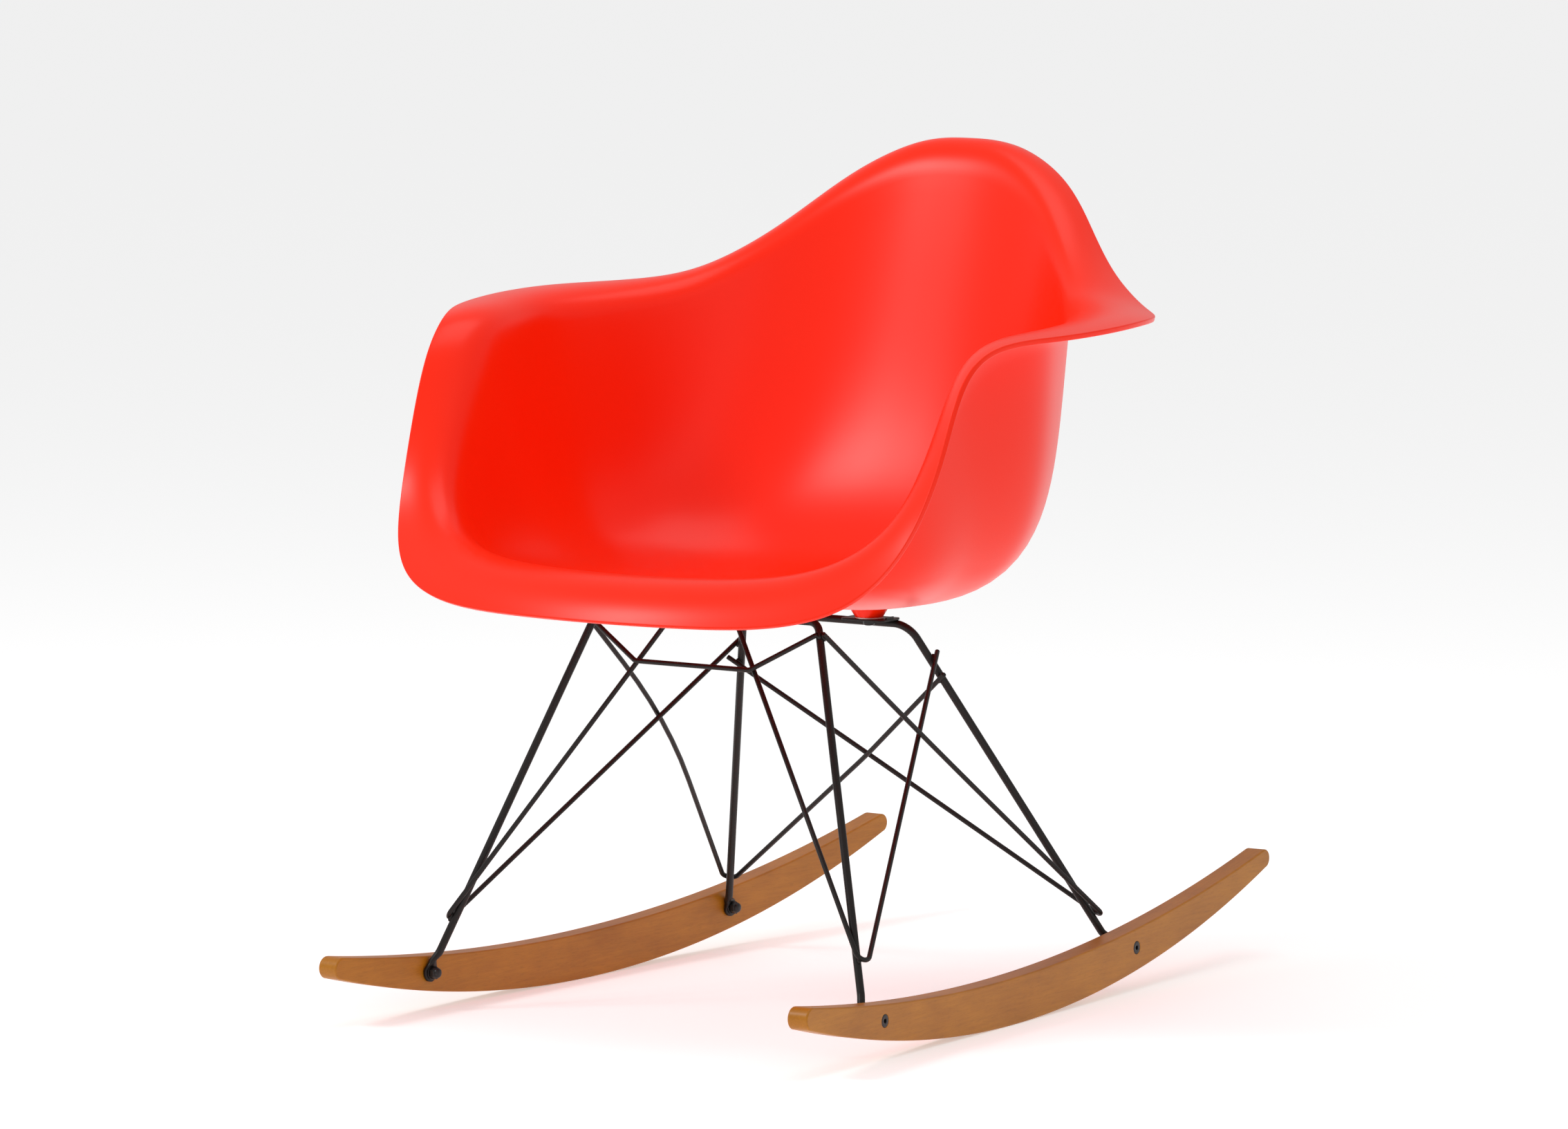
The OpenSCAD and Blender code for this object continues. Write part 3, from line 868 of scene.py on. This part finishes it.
# ---------------------------------------------------------------- operators
class CHAIR_OT_seat_shell(bpy.types.Operator):
    """Moulds the seat shell with its rolled rim and the four bosses underneath"""

    bl_idname = "chair.seat_shell"
    bl_label = "Seat shell"

    def execute(self, context):
        size = context.scene.chair_shell
        finish = finish_of("moulded_polypropylene", tuple(size.colour))
        rows = shell_section(size.thickness, size.edge, size.steps, BOWL_ROWS, ROLL_ROWS)
        skin = wrap("seat_shell_skin", rows)
        done(skin, finish, "shell_plastic", "seat_shell", angle=50)
        for front, side, spot in boss_spots():
            # a cone from its foot up into the wall, flaring where it meets the underside
            top = (FRONT_WALL if front else REAR_WALL) - spot.z
            wall = top - size.thickness / 2
            slope = (BOSS_ROOT_D - BOSS_D) / 2 / top
            foot = BOSS_D / 2
            profile = [
                (0, INSERT_DEPTH), (INSERT_R, INSERT_DEPTH), (INSERT_R, 0.4), (INSERT_R + 0.4, 0),
                (foot - 0.8, 0), (foot - 0.2, 0.25), (foot + 0.1, 0.8),
                (foot + slope * (wall - 2), wall - 2), (foot + 0.6 + slope * (wall - 0.6), wall - 0.6),
                (foot + 2 + slope * wall, wall + 0.5), (foot + slope * top, top - 0.2), (0, top),
            ]
            names = end_name(front), side_name(side)
            boss = turned("seat_boss_%s_%s" % names, profile)
            boss.data.transform(Matrix.Translation(spot * MM))
            done(boss, finish, "shell_plastic", angle=45)
        return {"FINISHED"}


class CHAIR_OT_mounts(bpy.types.Operator):
    """Makes the plates and screws that hold the shell, and gives its pads and inserts their finishes"""

    bl_idname = "chair.mounts"
    bl_label = "Shell mounts"

    def execute(self, context):
        coat = finish_of("black_powder_coat", tuple(context.scene.chair_frame.colour))
        steel = finish_of("blackened_steel", tuple(context.scene.chair_rockers.steel))
        for front, side, spot in boss_spots():
            names = end_name(front), side_name(side)
            base = spot - Vector((0, 0, PAD_T + PLATE_T))
            inner, outer = PLATE_W / 2, BOSS_INSET + LEG_D / 2
            # the long way is X; the plate reaches from past the boss to over the bar
            low, high = (-outer, inner) if front else (-inner, outer)
            clear_selection()
            bpy.ops.mesh.primitive_cube_add(size=1)
            plate = context.object
            plate.name = plate.data.name = "plate_%s_%s_sheet" % names
            middle = base + Vector((0, (low + high) / 2, PLATE_T / 2))
            fit = Matrix.Diagonal((PLATE_LEN, high - low, PLATE_T, 1))
            plate.data.transform(Matrix.Scale(MM, 4) @ Matrix.Translation(middle) @ fit)
            only(plate)
            bpy.ops.object.mode_set(mode="EDIT")
            bpy.ops.mesh.select_all(action="DESELECT")
            bpy.ops.object.mode_set(mode="OBJECT")
            for edge in plate.data.edges:
                a, b = (plate.data.vertices[k].co for k in edge.vertices)
                edge.select = abs(a.z - b.z) > PLATE_T * MM / 2
            bpy.ops.object.mode_set(mode="EDIT")
            bpy.ops.mesh.select_mode(type="EDGE")
            bpy.ops.mesh.bevel(offset=PLATE_CORNER * MM, segments=6)
            bpy.ops.object.mode_set(mode="OBJECT")
            modify(plate, "BEVEL", width=PLATE_EDGE * MM, segments=2, limit_method="ANGLE")
            hole = turned("hole", [(0, -3), (PLATE_BORE_R, -3), (PLATE_BORE_R, 5), (0, 5)])
            hole.data.transform(Matrix.Translation(base * MM))
            cut_away(plate, [hole])
            # the outer end carries a small tab, bent up
            end = side * PLATE_LEN / 2
            path = [Vector((end - side * 7, 0, PLATE_T / 2))]
            for k in range(9):
                a = math.pi / 2 * k / 8
                path.append(Vector((
                    end - side * (1 + TAB_BEND * (1 - math.sin(a))), 0,
                    PLATE_T / 2 + TAB_BEND * (1 - math.cos(a)),
                )))
            path.append(Vector((end - side, 0, TAB_TOP)))
            last = len(path) - 1
            rows = []
            for i, point in enumerate(path):
                tangent = (path[min(i + 1, last)] - path[max(i - 1, 0)]).normalized()
                ring = section(point, tangent, Vector((0, 1, 0)), TAB_HALF_WIDTH, PLATE_T / 2, 7, 32)
                cap = [point] * 32
                rows += {0: [cap, ring], last: [ring, cap]}.get(i, [ring])
            tab = wrap("tab", rows)
            tab.data.transform(Matrix.Translation(base * MM))
            clear_selection()
            tab.select_set(True)
            plate.select_set(True)
            context.view_layer.objects.active = plate
            bpy.ops.object.join()
            done(plate, coat, "frame_black", "plate_%s_%s" % names)
            repaint("pad_%s_%s" % names, finish_of("rubber_pad"))
        repaint("threaded_inserts", finish_of("turned_brass"))
        # low button head, six-sided socket, and a plain shank up into the insert
        screw = turned("screw", [
            (0, -2.4), (2.0, -2.4), (2.0, -5), (2.3, -5), (3.6, -4.9), (4.7, -4.4), (5.3, -3.4),
            (5.5, -2.2), (5.5, -0.3), (5.2, 0), (3, 0), (3, 6), (2.6, 6.4), (0, 6.4),
        ], hexed=(1, 2))
        heads = [Matrix.Translation((spot - Vector((0, 0, PAD_T + PLATE_T))) * MM)
                 for _, _, spot in boss_spots()]
        done(copies(screw, heads, "shell_screw_set"), steel, "fastener_black", "shell_screws")
        return {"FINISHED"}


class CHAIR_OT_leg_frames(bpy.types.Operator):
    """Bends the front and rear leg frames, with their feet pressed flat"""

    bl_idname = "chair.leg_frames"
    bl_label = "Leg frames"

    def execute(self, context):
        size = context.scene.chair_frame
        coat = finish_of("black_powder_coat", tuple(size.colour))
        r = size.leg / 2
        for front in (True, False):
            corners = [
                foot_point(front, -1, FOOT_IN, FOOT_REACH), knee(front, -1), bar_end(front, -1),
                bar_end(front, 1), knee(front, 1), foot_point(front, 1, FOOT_IN, FOOT_REACH),
            ]
            low, high = (FRONT_KNEE_BEND, FRONT_BEND) if front else (REAR_KNEE_BEND, REAR_BEND)
            path = rod_path(corners, [low, high, high, low])
            wide_ways = {}
            for side in (-1, 1):
                along, up = foot_turn(front)
                wide_ways[side] = to_world((0, up, -along), side) - to_world((0, 0, 0), side)
            rows = []
            for i in range(1, len(path) - 1):
                tangent = (path[i + 1] - path[i - 1]).normalized()
                share = max(0, min(1, 0.5 + path[i].x / TURN_SPAN))
                wide_way = wide_ways[-1].lerp(wide_ways[1], share)
                rows.append(section(path[i], tangent, wide_way, r, r, 2, 24))
            # the rod's end is pressed from round to a flat tab with a round tip
            half, thin = TAB_W / 2, TAB_T / 2
            press = []
            for step in range(PRESS_STEPS + 1):
                f = step / PRESS_STEPS
                ease = f * f * (3 - 2 * f)
                x = FOOT_IN + (TAB_T / 2 - FOOT_IN) * ease
                wide = r + (half - r) * ease
                reach = FOOT_REACH + PRESS_ABOVE - PRESS_RUN * f
                press.append((x, reach, wide, r + (thin - r) * ease, 2 + 2.5 * ease))
            for a in np.linspace(0.05, 1, 9) * math.pi / 2:
                press.append((thin, -half * math.sin(a), half * math.cos(a), thin, 4.5))
            for side in (-1, 1):
                tip = (foot_point(front, side, 0, -1) - foot_point(front, side, 0, 0)) * side
                rings = [
                    section(foot_point(front, side, x, reach), tip, wide_ways[side], wide, thick, power, 24)
                    for x, reach, wide, thick, power in press
                ]
                rows = rows + rings if side > 0 else rings[::-1] + rows
            name = end_name(front)
            legs = wrap(name + "_leg_rod", rows)
            done(legs, coat, "frame_black", name + "_leg_frame", angle=50)
        return {"FINISHED"}


class CHAIR_OT_braces(bpy.types.Operator):
    """Bends the four hairpin braces and the tie wire, and lays the weld beads"""

    bl_idname = "chair.braces"
    bl_label = "Braces and welds"

    def execute(self, context):
        size = context.scene.chair_frame
        coat = finish_of("black_powder_coat", tuple(size.colour))
        welds = []
        for front, corners_of, radii in (
            (True, front_brace_corners, [HAIRPIN_R]),
            (False, rear_brace_corners, [SWAY_R, HAIRPIN_R, SWAY_R]),
        ):
            for side in (1, -1):
                corners, joins = corners_of(side)
                foot = apex(front, side)
                flat = (corners[0] - foot).cross(corners[-1] - foot).normalized()
                name = "%s_brace_%s" % (end_name(front), side_name(side))
                wire = rod(name + "_wire", rod_path(corners, radii), size.wire, flat, 16)
                done(wire, coat, "frame_black", name, angle=50)
                # beads sit between the wire and the rod it crosses, turned halfway between them
                for at in joins:
                    way = (at - foot).normalized()
                    spot, along = self.nearest_rod(at)
                    welds.append((at + (spot - at).normalized() * size.wire / 2, way.lerp(along, 0.5)))
                # and one where the hairpin lies against its leg
                low = [p for p in rod_path(corners, radii) if p.z < foot.z + 60]
                start, way = knee(front, side), leg_way(front, side)
                spots = [(p, start + way * (p - start).dot(way)) for p in low]
                near, spot = min(spots, key=lambda pair: (pair[0] - pair[1]).length)
                if (near - spot).length < CONTACT + 1:
                    welds.append((near + (spot - near).normalized() * size.wire / 2, way))
        high = leg_at(True, 1, TIE_Z) + Vector((TIE_OUT, -CONTACT - FIT, 0))
        low = Vector(TIE_CORNER)
        flip = Vector((-1, 1, 1))
        tie_path = rod_path([high * flip, low * flip, low, high], [TIE_BEND, TIE_BEND])
        tie = rod("front_tie_rod", tie_path, size.wire, (0, 1, 0), 16)
        done(tie, coat, "frame_black", "front_tie_wire", angle=50)
        for side in (1, -1):
            spot = Vector((side * high.x, high.y + size.wire / 2, high.z))
            welds.append((spot, leg_way(True, side)))
        beads = []
        for spot, way in welds:
            clear_selection()
            bpy.ops.mesh.primitive_ico_sphere_add(subdivisions=3, radius=size.weld * MM)
            bead = context.object
            turn = way.normalized().to_track_quat("Z", "Y").to_matrix().to_4x4()
            for point in bead.data.vertices:
                # a long bead with the ripples that a weld pool leaves
                wave = math.sin(point.co.z / MM * 2 * math.pi / RIPPLE_PITCH * BEAD_STRETCH)
                ripple = 1 + RIPPLE_DEPTH * wave
                point.co = Vector((point.co.x * ripple, point.co.y * ripple, point.co.z * BEAD_STRETCH))
            bead.data.transform(Matrix.Translation(spot * MM) @ turn)
            beads.append(bead)
        clear_selection()
        for bead in beads:
            bead.select_set(True)
        context.view_layer.objects.active = beads[0]
        bpy.ops.object.join()
        beads[0].name = beads[0].data.name = "weld_beads"
        done(beads[0], coat, "frame_black", angle=60)
        return {"FINISHED"}

    def nearest_rod(self, at):
        """The nearest point of a leg or bar to a join, and the way it runs there."""
        found = []
        for front in (True, False):
            bar = bar_end(front, 1)
            lines = [(Vector((0, bar.y, bar.z)), Vector((1, 0, 0)))]
            lines += [(knee(front, side), leg_way(front, side)) for side in (-1, 1)]
            for start, way in lines:
                spot = start + way * (at - start).dot(way)
                found.append(((spot - at).length, spot, way))
        _, spot, way = min(found, key=lambda row: row[0])
        return spot, way


class CHAIR_OT_rockers(bpy.types.Operator):
    """Cuts the two curved rockers with eased edges and countersunk holes"""

    bl_idname = "chair.rockers"
    bl_label = "Rockers"

    @staticmethod
    def lower(s):
        return ROLL_R - math.sqrt(ROLL_R**2 - s**2)

    @staticmethod
    def upper(s):
        return ROCKER_DEPTH + UPPER_R - math.sqrt(UPPER_R**2 - (s + UPPER_BACK) ** 2)

    def tip(self, end):
        """Where the round of a tip is centred, its radius and the slope of the rocker there."""
        def slope(s):
            low = s / math.sqrt(ROLL_R**2 - s**2)
            high = (s + UPPER_BACK) / math.sqrt(UPPER_R**2 - (s + UPPER_BACK) ** 2)
            return math.atan((low + high) / 2)

        def radius(s):
            return (self.upper(s) - self.lower(s)) / 2 * math.cos(slope(s))

        s = end
        for _ in range(3):
            s = end - math.copysign(radius(s), end)
        return s, (self.upper(s) + self.lower(s)) / 2, radius(s), slope(s)

    def outline(self):
        """Points round the side of a rocker: along, up."""
        fs, fz, fr, fa = self.tip(ROCKER_FRONT)
        bs, bz, br, ba = self.tip(ROCKER_REAR)
        start, end = fs + fr * math.sin(fa), bs + br * math.sin(ba)
        points = [(s, self.lower(s)) for s in np.linspace(start, end, 90)]
        for a in np.linspace(-math.pi / 2, math.pi / 2, 22)[1:-1]:
            points.append((bs + br * math.cos(a + ba), bz + br * math.sin(a + ba)))
        start, end = bs - br * math.sin(ba), fs - fr * math.sin(fa)
        points += [(s, self.upper(s)) for s in np.linspace(start, end, 90)]
        for a in np.linspace(math.pi / 2, 3 * math.pi / 2, 22)[1:-1]:
            points.append((fs + fr * math.cos(a + fa), fz + fr * math.sin(a + fa)))
        return points

    def execute(self, context):
        size = context.scene.chair_rockers
        wood = finish_of("lacquered_maple", tuple(size.dark), tuple(size.light))
        points = self.outline()
        clear_selection()
        bpy.ops.mesh.primitive_circle_add(vertices=len(points), radius=1, fill_type="NGON")
        blank = context.object
        for point, (s, z) in zip(blank.data.vertices, points):
            point.co = Vector((-ROCKER_T * MM, s * MM, z * MM))
        only(blank)
        bpy.ops.object.mode_set(mode="EDIT")
        bpy.ops.mesh.select_all(action="SELECT")
        bpy.ops.mesh.extrude_region_move(TRANSFORM_OT_translate={"value": (ROCKER_T * MM, 0, 0)})
        bpy.ops.object.mode_set(mode="OBJECT")
        close_up(blank)
        modify(blank, "BEVEL", width=size.easing * MM, segments=4, limit_method="ANGLE",
               angle_limit=math.radians(40))
        tools = []
        for s, z in BOLTS:
            sink = turned("sink", [
                (0, -2), (6.35, -2), (6.35, 0), (3.3, 3.7), (3.3, ROCKER_T + 2), (0, ROCKER_T + 2),
            ])
            sink.data.transform(
                Matrix.Translation((0, s * MM, z * MM)) @ Matrix.Rotation(-math.pi / 2, 4, "Y")
            )
            tools.append(sink)
        cut_away(blank, tools)
        for side in (-1, 1):
            model = blank
            if side < 0:
                model = blank.copy()
                model.data = blank.data.copy()
                context.collection.objects.link(model)
            board = copies(model, [rocker_matrix(side)], "rocker_board_" + side_name(side))
            done(board, wood, "rocker_wood", "rocker_" + side_name(side))
            modify(board, "WEIGHTED_NORMAL", keep_sharp=True)
        return {"FINISHED"}


class CHAIR_OT_rocker_fixings(bpy.types.Operator):
    """Turns the flush screws, the washers and the domed nuts"""

    bl_idname = "chair.rocker_fixings"
    bl_label = "Rocker fixings"

    def execute(self, context):
        steel = finish_of("blackened_steel", tuple(context.scene.chair_rockers.steel))
        places = bolt_places()
        base = ROCKER_T + TAB_T
        # flush head: narrow rim, flat top, six-sided socket, cone, shank
        screw = turned("screw", [
            (0, 2.5), (2.0, 2.5), (2.0, 0.25), (2.4, 0.15), (5.5, 0.15), (5.85, 0.3), (6, 0.6),
            (3, 3.6), (3, base + 6.6), (2.7, base + 7), (0, base + 7),
        ], hexed=(1, 2))
        done(copies(screw, places, "rocker_screw_set"), steel, "fastener_black", "rocker_screws")
        washer = turned("washer", [
            (3.3, base), (6.2, base), (6.5, base + 0.3), (6.5, base + 0.7), (6.2, base + 1), (3.3, base + 1),
            (3.3, base),
        ])
        done(copies(washer, places, "rocker_washer_set"), steel, "fastener_black", "rocker_washers")
        top = base + 1
        # six-sided body with a turned chamfer, then a domed cap
        nut = turned("nut", [
            (3.1, top), (4.7, top), (5, top + 0.4), (5, top + 4.4), (4.75, top + 5), (4.55, top + 5.2),
            (4.5, top + 6), (4.1, top + 6.9), (3.2, top + 7.6), (1.8, top + 7.95), (0, top + 8),
            (0, top + 7.2), (3.1, top + 7.2), (3.1, top),
        ], hexed=(1, 2, 3, 4))
        done(copies(nut, places, "rocker_nut_set"), steel, "fastener_black", "rocker_nuts")
        return {"FINISHED"}


class CHAIR_OT_stage(bpy.types.Operator):
    """Lays the lit floor, hangs the soft lights and sets up the camera"""

    bl_idname = "chair.stage"
    bl_label = "Stage"

    def execute(self, context):
        size = context.scene.chair_stage
        scene = context.scene
        clear_selection()
        bpy.ops.mesh.primitive_plane_add(size=60)
        floor = context.object
        floor.name = floor.data.name = "studio_floor"
        finish, tree, skin = new_material("painted_floor")
        skin.inputs["Base Color"].default_value = linear("#F4F4F4")
        skin.inputs["Roughness"].default_value = 0.9
        skin.inputs["Specular IOR Level"].default_value = 0.0
        skin.inputs["Emission Color"].default_value = linear("#FFFFFF")
        skin.inputs["Emission Strength"].default_value = size.floor
        floor.data.materials.append(finish)
        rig.stage(floor)
        world = bpy.data.worlds.new("studio_surround")
        scene.world = world
        world.use_nodes = True
        surround = world.node_tree.nodes["Background"]
        surround.inputs["Color"].default_value = (1, 1, 1, 1)
        surround.inputs["Strength"].default_value = size.world
        target = Vector((0, 0, 0.42))
        lights = (
            ("key_light", size.key, (-1.6, -2.2, 2.6), 0.8),
            ("fill_light", size.fill, (3.0, -1.6, 1.4), 2.0),
            ("top_light", size.top, (0.3, 0.2, 3.2), 2.0),
        )
        for name, power, place, width in lights:
            lamp = bpy.data.lights.new(name, "AREA")
            lamp.energy, lamp.size = power, width
            holder = bpy.data.objects.new(name, lamp)
            holder.location = place
            aim = target - Vector(place)
            holder.rotation_euler = aim.to_track_quat("-Z", "Y").to_euler()
            context.collection.objects.link(holder)
        view = bpy.data.cameras.new("main_view")
        view.sensor_width = CAMERA_SENSOR
        view.lens = CAMERA_LENS
        view.clip_end = 200
        camera = bpy.data.objects.new("main_view", view)
        camera.location = CAMERA_AT
        camera.rotation_euler = (math.radians(90 - CAMERA_DOWN), 0, math.radians(CAMERA_TURN))
        context.collection.objects.link(camera)
        scene.camera = camera
        scene.view_settings.view_transform = "Standard"
        return {"FINISHED"}


OPERATORS = (
    CHAIR_OT_seat_shell,
    CHAIR_OT_mounts,
    CHAIR_OT_leg_frames,
    CHAIR_OT_braces,
    CHAIR_OT_rockers,
    CHAIR_OT_rocker_fixings,
    CHAIR_OT_stage,
)


class CHAIR_PT_panel(bpy.types.Panel):
    """Sizes, colours and one button for each piece of the chair"""

    bl_label = "Rocking armchair"
    bl_idname = "CHAIR_PT_panel"
    bl_space_type = "VIEW_3D"
    bl_region_type = "UI"
    bl_category = "Chair"

    def draw(self, context):
        for name, group in SETTINGS.items():
            box = self.layout.box()
            box.label(text=group.__doc__)
            for field in group.__annotations__:
                box.prop(getattr(context.scene, name), field)
        for operator in OPERATORS:
            self.layout.operator(operator.bl_idname)


CLASSES = (*SETTINGS.values(), *OPERATORS, CHAIR_PT_panel)


def register():
    for kind in CLASSES:
        bpy.utils.register_class(kind)
    for name, group in SETTINGS.items():
        setattr(bpy.types.Scene, name, PointerProperty(type=group))


def unregister():
    for name in SETTINGS:
        delattr(bpy.types.Scene, name)
    for kind in reversed(CLASSES):
        bpy.utils.unregister_class(kind)


def main():
    register()
    bpy.ops.chair.stage()
    bpy.ops.chair.seat_shell()
    bpy.ops.chair.mounts()
    bpy.ops.chair.leg_frames()
    bpy.ops.chair.braces()
    bpy.ops.chair.rockers()
    bpy.ops.chair.rocker_fixings()
    sizes = {"cad": [list(map(float, p)) for p in CAD_BOX], "visual": [list(map(float, p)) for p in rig.bounds()]}
    with open("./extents.json", "w") as out:
        json.dump(sizes, out, indent=1)


if __name__ == "__main__":
    main()
